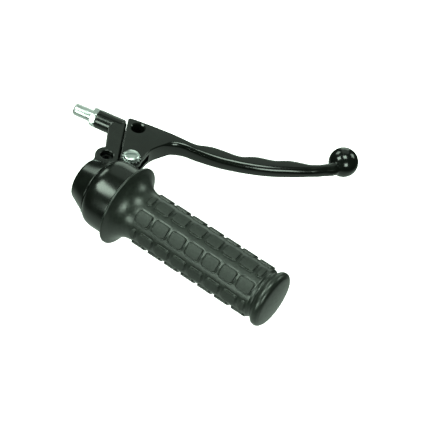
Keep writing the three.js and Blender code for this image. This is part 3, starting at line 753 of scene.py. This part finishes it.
class THROTTLE_OT_drum_cover(bpy.types.Operator):
    """Build the drum cover ring with its cable inlet"""

    bl_idname = "throttle.drum_cover"
    bl_label = "Drum Cover"

    def execute(self, context):
        settings = context.scene.throttle_body
        outer = settings.cover_radius / MM
        shoulder = smooth_line([
            (14.95, 20.45), (15.1, 20.85), (15.7, 21.6), (16.7, 22.35), (18, 23), (19.6, 23.45),
            (21.4, 23.7), (23.4, outer),
        ], 26)
        edge = rounded([(24.2, outer), (33.95, outer + 0.02), (34, 0)], 0.6, 6)
        cover = solid("cover_casting", turned(np.vstack([[(14.95, 0)], shoulder, edge]), 160))
        inlet = laid(turned(rounded([(12, 0), (12, 5), (26, 5), (26, 0)], 0.5)), INLET, DOWN)
        flare = [(13, 0), (13, 6.6), (19.2, 6.2), (20.2, 5.4), (21.4, 5.02), (21.4, 0)]
        collar = laid(turned(flare), INLET, DOWN)
        combine(cover, "UNION", [inlet, collar])
        cavity = turned([(10, 0), (10, 19.6), (31.2, 19.6), (31.2, 13.2), (40, 13.2), (40, 0)], 160)
        hole = turned([(6, 0), (6, 2.7), (25.7, 2.7), (26.1, 3.1), (28, 3.1), (28, 0)], 48)
        combine(cover, "DIFFERENCE", [cavity, laid(hole, INLET, DOWN)])
        hand_in(cover, "housing", "black_casting", casting_paint(settings.colour), "drum_cover", sharp=30)
        return {"FINISHED"}


# ---------------------------------------------------------------- brake lever


def lever_root_stations():
    """Plan edges and section of the flat root, from the pivot boss to the shaft."""
    pivot, boss = np.array(PIVOT[:2]), 7.0
    along = np.array([-6.97, -6.8, -6.3, -5.4, -4.0, -2.2])
    chord = np.sqrt(boss**2 - along**2)[:, None]
    middle = pivot + along[:, None] * ALONG_GAP
    left = [
        gap_point(7.2), gap_point(11), gap_point(16), gap_point(22), gap_point(28), gap_point(34),
        gap_point(40), gap_point(43.4), (-12.05, 59.7), (-11.75, 60.7), (-10.6, 61.45),
        (-6, 62.95), (0, 64.7), (8, 67), (16, 69.2), (24, 71.3), (30, 73),
    ]
    right = [
        (19.13, 34.5), (18.75, 37.2), (18.1, 40.8), (17.7, 44.5), (17.9, 48), (18.7, 51.3), (19.8, 54.4),
        (20.6, 56.2), (21.1, 57.2), (21.5, 57.9), (21.9, 58.5), (22.8, 60), (24.2, 61.8), (26.2, 63.6),
        (28.6, 65.1), (31.6, 66.4), (34.6, 67.1),
    ]
    half = [BLADE_HALF] * 14 + [5.95, 5.8, 5.6]
    outer = [0.8] * 13 + [0.9, 1.1, 1.6, 2.3]
    inner = [0.8] * 6 + [0.9, 1.1, 1.3, 1.5, 1.8, 2.4, 3.0, 3.3, 3.4, 3.4, 3.3]
    section = np.full((len(along), 3), [BLADE_HALF, 0.6, 0.6])
    boss_rows = np.column_stack([middle - chord * ACROSS_GAP, middle + chord * ACROSS_GAP, section])
    return np.vstack([boss_rows, np.column_stack([left, right, half, outer, inner])])


def lever_shaft_stations():
    """Plan edges and section of the shaft: the inner edge is smooth, the outer has finger waves."""
    inner = [
        (38, 67.8), (43, 69.2), (48, 70.8), (53, 72.6), (58, 74.8), (63, 77.4), (68, 80.1),
        (73, 83.2), (78, 86.5), (83, 90.2), (88, 94.4), (93, 99.1), (97, 102.9), (101, 106.9),
        (105, 111.2), (108.5, 115.2), (111.5, 119), (114, 121.6), (116.1, 124.2),
    ]
    outer = [
        (35.5, 75.4), (40.1, 78.9), (44.5, 81.7), (48.7, 83.4), (53.2, 84.9), (58.2, 86.4), (62.9, 88.9),
        (66.7, 93.1), (70.9, 96.5), (75.9, 99.2), (80.9, 102.4), (85.3, 107.2), (89.5, 110.7), (94.2, 113.5),
        (99.1, 116.4), (103, 119.8), (105.3, 122.7), (106.5, 125), (107.5, 126.7),
    ]
    half = np.interp(np.arange(19), [0, 3, 6, 11, 14, 18], [5.45, 5.15, 4.95, 4.7, 4.3, 4.3])
    rounding = np.interp(np.arange(19), [0, 3, 6, 12, 18], [3.1, 3.6, 3.8, 3.9, 4.2])
    return np.column_stack([outer, inner, half, rounding, rounding])


def lever_ball_stations(ball, neck):
    """Round sections of the neck, its small fillet and the ball.

    On the ball the radius is that of a sphere, sqrt(R^2 - s^2), at a distance s from its centre.
    """
    centre = np.array([113.7, 137.7])
    axis = centre - np.array([112.3, 125.5])
    axis /= np.linalg.norm(axis)
    side = np.array([axis[1], -axis[0]])
    start = math.asin(neck / ball)
    turn = np.linspace(start + 0.09, math.pi - 0.02, 30)
    s = np.concatenate([[-10.7, -ball * math.cos(start) - 0.3], -ball * np.cos(turn)])
    r = np.concatenate([[neck, neck], ball * np.sin(turn)])
    middle = centre + s[:, None] * axis
    return np.column_stack([middle - r[:, None] * side, middle + r[:, None] * side, r, r, r])


def lever_points(ball, neck):
    """One skin for the whole lever, carried from the pivot boss to the end of the ball."""
    root, shaft, end = lever_root_stations(), lever_shaft_stations(), lever_ball_stations(ball, neck)
    smooth_part = np.vstack([root, shaft, end[:1]])
    knots = np.arange(len(smooth_part))
    stations = through(knots, smooth_part, np.linspace(0, knots[-1], 6 * knots[-1] + 1))
    stations = np.vstack([stations, end[1:]])
    return bar_between(stations[:, :2], stations[:, 2:4], stations[:, 4], stations[:, 5:], steps=9)


class THROTTLE_OT_brake_lever(bpy.types.Operator):
    """Build the brake lever with its fork, cable nipple hole, finger waves and ball end"""

    bl_idname = "throttle.brake_lever"
    bl_label = "Brake Lever"

    def execute(self, context):
        settings = context.scene.throttle_lever
        lever = solid("lever_casting", lever_points(settings.ball_radius / MM, settings.neck_radius / MM))
        nipple_hole = [(-4, 0), (-4, 4.4), (5.35, 4.4), (6.05, 5.2), (8, 5.2), (8, 0)]
        slot_turn = math.atan2(CABLE_AXIS[1], CABLE_AXIS[0])
        combine(lever, "DIFFERENCE", [
            box_points((-40, 0, -3), (40, 45, 3)),
            rod_points(3.3, -8, 8, PIVOT, UP, 48),
            laid(turned(nipple_hole, 64), NIPPLE, UP),
            box_points((0, -1.2, -1.2), (14, 1.2, 1.2), slot_turn, NIPPLE),
        ])
        hand_in(lever, "lever", "black_lever", lever_paint(settings.colour), "brake_lever", sharp=40)
        return {"FINISHED"}


# ---------------------------------------------------------------- screws, nuts and washers


def lock_washer_points(teeth):
    """A toothed washer: outside its ring the radius and the height wander with the angle, once a tooth."""
    a = angles(teeth * 12)
    wave = np.clip(1.6 * np.sin(teeth * a), -1, 1)
    flat = np.ones_like(a)
    hole, root, reach = 3.3 * flat, 5.1 * flat, 5.75 + 0.5 * wave
    foot, top, lift = 6.3 * flat, 7.0 * flat, 6.42 + 0.12 * wave
    x = np.stack([foot, foot, lift, lift + 0.5, top, top])
    r = np.stack([hole, root, reach, reach, root, hole])
    return closed(np.stack([x, r * np.cos(a), r * np.sin(a)], -1))


class THROTTLE_OT_pivot_hardware(bpy.types.Operator):
    """Build the lever's pivot screw, lock washer and nut"""

    bl_idname = "throttle.pivot_hardware"
    bl_label = "Pivot Hardware"

    def execute(self, context):
        settings = context.scene.throttle_hardware
        zinc = bright_zinc(settings.zinc_colour)
        head = smooth_line([(8.15, 5.4), (8.5, 5.25), (9.0, 4.6), (9.4, 3.5), (9.65, 2), (9.72, 0.01)], 22)
        shank = rounded([(-12.1, 0), (-12.1, 2.5), (-11.6, 3), (7.3, 3), (7.3, 5.4), (8.15, 5.4)], 0.15, 3)
        profile = np.vstack([shank, head[1:], [(9.72, 0)]])
        screw = solid("pivot_screw_head", laid(turned(profile, 96), PIVOT, UP))
        slot = box_points((-8, -0.75, 8.35), (8, 0.75, 12), math.radians(43), PIVOT)
        combine(screw, "DIFFERENCE", [slot])
        hand_in(screw, "housing", "zinc", zinc, "pivot_screw", sharp=30)
        washer = solid("pivot_lock_washer", laid(lock_washer_points(settings.washer_teeth), PIVOT, UP))
        hand_in(washer, "housing", "zinc", zinc, "pivot_washer", sharp=30)
        nut = solid("pivot_hex_nut", laid(closed(hexagonal(10, -10.5, -6.3, 3.3)), PIVOT, UP))
        hand_in(nut, "housing", "zinc", zinc, "pivot_nut", sharp=25)
        return {"FINISHED"}


class THROTTLE_OT_clamp_hardware(bpy.types.Operator):
    """Build the sunk pinch screw with its washer and nut, and the two cover screws"""

    bl_idname = "throttle.clamp_hardware"
    bl_label = "Clamp Hardware"

    def execute(self, context):
        settings = context.scene.throttle_hardware
        zinc, oxide = bright_zinc(settings.zinc_colour), black_oxide(settings.oxide_colour)
        outline = [(-13.1, 0), (-13.1, 2.4), (-0.3, 2.4), (-0.3, 3.7), (2.9, 3.7), (2.9, 0)]
        profile = rounded(outline, 0.35, 4)
        screw = solid("pinch_screw", laid(turned(profile, 64), LUG, UP))
        socket = hexagonal(4, 0.9, 4, 0.0, 48)
        combine(screw, "DIFFERENCE", [laid(socket, LUG, UP)])
        hand_in(screw, "housing", "black_steel", oxide, "clamp_screw", sharp=30)
        ring = rounded([(-7.8, 2.7), (-7.8, 4.6), (-6.8, 4.6), (-6.8, 2.7), (-7.3, 2.7)], 0.15, 4)
        washer = solid("pinch_washer", laid(closed(turned(ring, 64)), LUG, UP))
        hand_in(washer, "housing", "zinc", zinc, "clamp_washer", sharp=30)
        nut = solid("pinch_nut", laid(closed(hexagonal(8, -12.1, -8.1, 2.7)), LUG, UP))
        hand_in(nut, "housing", "zinc", zinc, "clamp_nut", sharp=25)
        head = [(8.9, 0), (8.9, 2.9), (11.3, 2.9), (11.3, 1.6), (22.6, 1.6), (23, 1.1), (23, 0)]
        for number, degrees in enumerate(COVER_SCREW_DEGREES, 1):
            line = cover_screw_place(degrees)
            points = laid(turned(rounded(head, 0.3, 4), 48), line, OUTBOARD)
            cover_screw = solid(f"cover_screw_head_{number}", points)
            combine(cover_screw, "DIFFERENCE", [box_points((8, -0.45, -4), (9.9, 0.45, 4), 0.0, line)])
            hand_in(cover_screw, "housing", "zinc", zinc, f"cover_screw_{number}", sharp=30)
        return {"FINISHED"}


def barrel_points(start, shoulder, end, shank, head, socket, hole=1.2, segments=96):
    """A barrel adjuster's profile carried round its line: bevelled head, shank, cable hole and socket."""
    profile = [
        (start, hole), (start, shank - 0.5), (start + 0.6, shank), (shoulder, shank), (shoulder, head),
        (end - 1.1, head), (end, head - 0.7), (end, socket), (end - 6, socket), (end - 6, hole),
        (start + 3, hole),
    ]
    return closed(turned(rounded(profile, 0.25, 4), segments))


class THROTTLE_OT_cable_adjusters(bpy.types.Operator):
    """Build both cable adjusters and their lock nuts"""

    bl_idname = "throttle.cable_adjusters"
    bl_label = "Cable Adjusters"

    def execute(self, context):
        zinc = bright_zinc(context.scene.throttle_hardware.zinc_colour)
        pieces = [
            ("brake_barrel", barrel_points(7, 23.4, 36.6, 3.3, 4.1, 3.0), CABLE_POINT, CABLE_AXIS,
             "brake_adjuster", "brake_cable_adjuster"),
            ("brake_barrel_nut", closed(hexagonal(11.6, 19.5, 23.1, 3.6)), CABLE_POINT, CABLE_AXIS,
             "brake_lock_nut", "brake_adjuster_nut"),
            ("throttle_barrel", barrel_points(15, 29.6, 38.3, 2.4, 3.6, 2.6), INLET, DOWN,
             "throttle_adjuster", "throttle_cable_adjuster"),
            ("throttle_barrel_nut", closed(hexagonal(8, 26.3, 29.3, 2.7)), INLET, DOWN,
             "throttle_lock_nut", "throttle_adjuster_nut"),
        ]
        for name, points, origin, direction, body, node in pieces:
            shape = solid(name, laid(points, origin, direction))
            hand_in(shape, body, "zinc", zinc, node, sharp=30)
        return {"FINISHED"}


class THROTTLE_OT_inner_pieces(bpy.types.Operator):
    """Finish the inner pieces: twist tube, pivot bush, thrust washer and friction spring"""

    bl_idname = "throttle.inner_pieces"
    bl_label = "Inner Pieces"

    def execute(self, context):
        steel = spring_steel("#85898a")
        finishes = {
            "throttle_tube": moulded_nylon("black_moulded_nylon", "#232523", "#2e312e"),
            "thrust_washer": moulded_nylon("natural_moulded_nylon", "#cfcab6", "#dedacb"),
            "friction_spring": steel,
            "pivot_bush": steel,
        }
        for node, material in finishes.items():
            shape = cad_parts[node]
            shape.data.materials.clear()
            shape.data.materials.append(material)
        return {"FINISHED"}


# ---------------------------------------------------------------- stage


def sweep_points(drop):
    """Studio sweep: a floor that curves up into a wall behind the part, as a profile carried sideways."""
    away = np.array([-0.52, 0.854])
    side = np.array([away[1], -away[0]])
    near, foot, wall, top, half_width = -4, 1.9, 2.1, 2.6, 4
    profile = rounded([(near, drop), (foot, drop), (wall, top)], 1.0, 24)
    across = np.linspace(-half_width, half_width, 9)
    plan = profile[:, :1, None] * away + across[None, :, None] * side
    z = np.broadcast_to(profile[:, 1:, None], (*plan.shape[:2], 1))
    return np.concatenate([plan, z], -1)


def aim(thing, target):
    thing.rotation_euler = (Vector(target) - thing.location).to_track_quat("-Z", "Y").to_euler()


class THROTTLE_OT_stage(bpy.types.Operator):
    """Build the pale sweep, the soft lamps, the world and the camera"""

    bl_idname = "throttle.stage"
    bl_label = "Stage"

    def execute(self, context):
        settings = context.scene.throttle_stage
        scene = context.scene
        scene.view_settings.view_transform = "Standard"
        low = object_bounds()[0].z
        points = sweep_points(low - settings.floor_drop)
        rows, columns = points.shape[:2]
        grid = np.arange(rows * columns).reshape(rows, columns)
        quads = np.stack([grid[:-1, :-1], grid[:-1, 1:], grid[1:, 1:], grid[1:, :-1]], -1).reshape(-1, 4)
        mesh = bpy.data.meshes.new("sweep")
        mesh.from_pydata(points.reshape(-1, 3).tolist(), [], quads.tolist())
        mesh.shade_smooth()
        sweep = bpy.data.objects.new("sweep", mesh)
        scene.collection.objects.link(sweep)
        paper, tree, shader, place = new_material("white_paper_sweep", Roughness=0.9, IOR=1.4)
        link_input(tree, shader, Base_Color=mottle(tree, place, 400, "#f0f0ee", "#f5f5f4"))
        shader.inputs["Emission Color"].default_value = (1, 1, 1, 1)
        shader.inputs["Emission Strength"].default_value = 0.95
        mesh.materials.append(paper)
        sweep.visible_diffuse = False
        sweep.visible_glossy = False
        sweep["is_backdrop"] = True
        self.light(scene, settings.lamp_distance)
        self.world(scene)
        self.camera(scene, settings.lens)
        return {"FINISHED"}

    def light(self, scene, distance):
        """Square soft lamps: four on the camera's side, two panels opposite it and two for the back.

        Each has its azimuth and elevation in degrees, its side in metres and its power in watts.
        """
        target = Vector((0.07, 0.05, 0.0))
        lamps = {
            "lamp_top": (54, 84, 0.85, 26), "lamp_left": (-42, 47, 0.95, 34),
            "lamp_right": (53, 23, 0.85, 26), "lamp_low": (-5, 7, 0.7, 20),
            "panel_behind": (207, 46, 1.5, 4.2), "panel_backdrop": (207, 8, 1.1, 6),
            "lamp_back_left": (255, 32, 0.8, 11), "lamp_back_right": (155, 30, 0.8, 11),
        }
        for name, (azimuth, elevation, size, power) in lamps.items():
            a, e = math.radians(azimuth), math.radians(elevation)
            data = bpy.data.lights.new(name, "AREA")
            data.shape = "SQUARE"
            data.size = size
            data.energy = power
            data.color = LAMP_COLOUR
            lamp = bpy.data.objects.new(name, data)
            toward = Vector((math.sin(a) * math.cos(e), -math.cos(a) * math.cos(e), math.sin(e)))
            lamp.location = target + toward * distance
            lamp.visible_camera = False
            aim(lamp, target)
            scene.collection.objects.link(lamp)

    def world(self, scene):
        """White to the camera and dim as a light, so that the lamps stand out in the gloss.

        The sweep casts no light on the part, so the world's underside stands in for it.
        """
        world = bpy.data.worlds.new("studio")
        world.use_nodes = True
        scene.world = world
        tree = world.node_tree
        tree.nodes.clear()
        seen = add_node(tree, "ShaderNodeBackground", {"Color": (1, 1, 1, 1), "Strength": 1.0})
        toward = add_node(tree, "ShaderNodeTexCoord").outputs["Generated"]
        height = add_node(tree, "ShaderNodeSeparateXYZ", {"Vector": toward}).outputs["Z"]
        glow = add_node(tree, "ShaderNodeMapRange", {
            "Value": height, "From Min": -0.4, "From Max": -0.7, "To Min": 0.04, "To Max": 0.7,
        }).outputs["Result"]
        cast_light = add_node(tree, "ShaderNodeBackground", {"Color": (*LAMP_COLOUR, 1), "Strength": glow})
        path = add_node(tree, "ShaderNodeLightPath")
        mixed = add_node(tree, "ShaderNodeMixShader", {
            0: path.outputs["Is Camera Ray"], 1: cast_light.outputs[0], 2: seen.outputs[0],
        })
        add_node(tree, "ShaderNodeOutputWorld", {"Surface": mixed.outputs[0]})

    def camera(self, scene, lens):
        """A long view from above, from the -Y side and from outboard of the part's middle."""
        data = bpy.data.cameras.new("camera")
        data.lens = lens
        data.sensor_width = 36
        data.clip_start, data.clip_end = 0.01, 50
        camera = bpy.data.objects.new("camera", data)
        right, up, back = (0.7956, 0.5847, 0.1584), (-0.5103, 0.5060, 0.6954), (0.3265, -0.6341, 0.7010)
        turn = Matrix((right, up, back)).transposed().to_4x4()
        place = (0.4095, -0.6045, 0.7058)
        camera.matrix_world = Matrix.Translation(place) @ turn
        scene.collection.objects.link(camera)
        scene.camera = camera


# ---------------------------------------------------------------- panel and registration


class THROTTLE_PT_panel(bpy.types.Panel):
    """Lists the operators and their settings"""

    bl_label = "Twist Throttle"
    bl_idname = "THROTTLE_PT_panel"
    bl_space_type = "VIEW_3D"
    bl_region_type = "UI"
    bl_category = "Throttle"

    def draw(self, context):
        for operator in OPERATORS:
            self.layout.operator(operator.bl_idname)
        for name, group in SETTINGS.items():
            column = self.layout.column(align=True)
            for field in group.__annotations__:
                column.prop(getattr(context.scene, name), field)


SETTINGS = {
    "throttle_grip": ThrottleGripSettings,
    "throttle_body": ThrottleBodySettings,
    "throttle_lever": ThrottleLeverSettings,
    "throttle_hardware": ThrottleHardwareSettings,
    "throttle_stage": ThrottleStageSettings,
}

OPERATORS = [
    THROTTLE_OT_clamp_body,
    THROTTLE_OT_drum_cover,
    THROTTLE_OT_rubber_grip,
    THROTTLE_OT_brake_lever,
    THROTTLE_OT_pivot_hardware,
    THROTTLE_OT_clamp_hardware,
    THROTTLE_OT_cable_adjusters,
    THROTTLE_OT_inner_pieces,
    THROTTLE_OT_stage,
]


def register():
    for item in (*SETTINGS.values(), *OPERATORS, THROTTLE_PT_panel):
        bpy.utils.register_class(item)
    for name, group in SETTINGS.items():
        setattr(bpy.types.Scene, name, bpy.props.PointerProperty(type=group))


def unregister():
    for name in SETTINGS:
        delattr(bpy.types.Scene, name)
    for item in reversed((*SETTINGS.values(), *OPERATORS, THROTTLE_PT_panel)):
        bpy.utils.unregister_class(item)


def main():
    register()
    for operator in OPERATORS:
        family, name = operator.bl_idname.split(".")
        getattr(getattr(bpy.ops, family), name)()


if __name__ == "__main__":
    main()
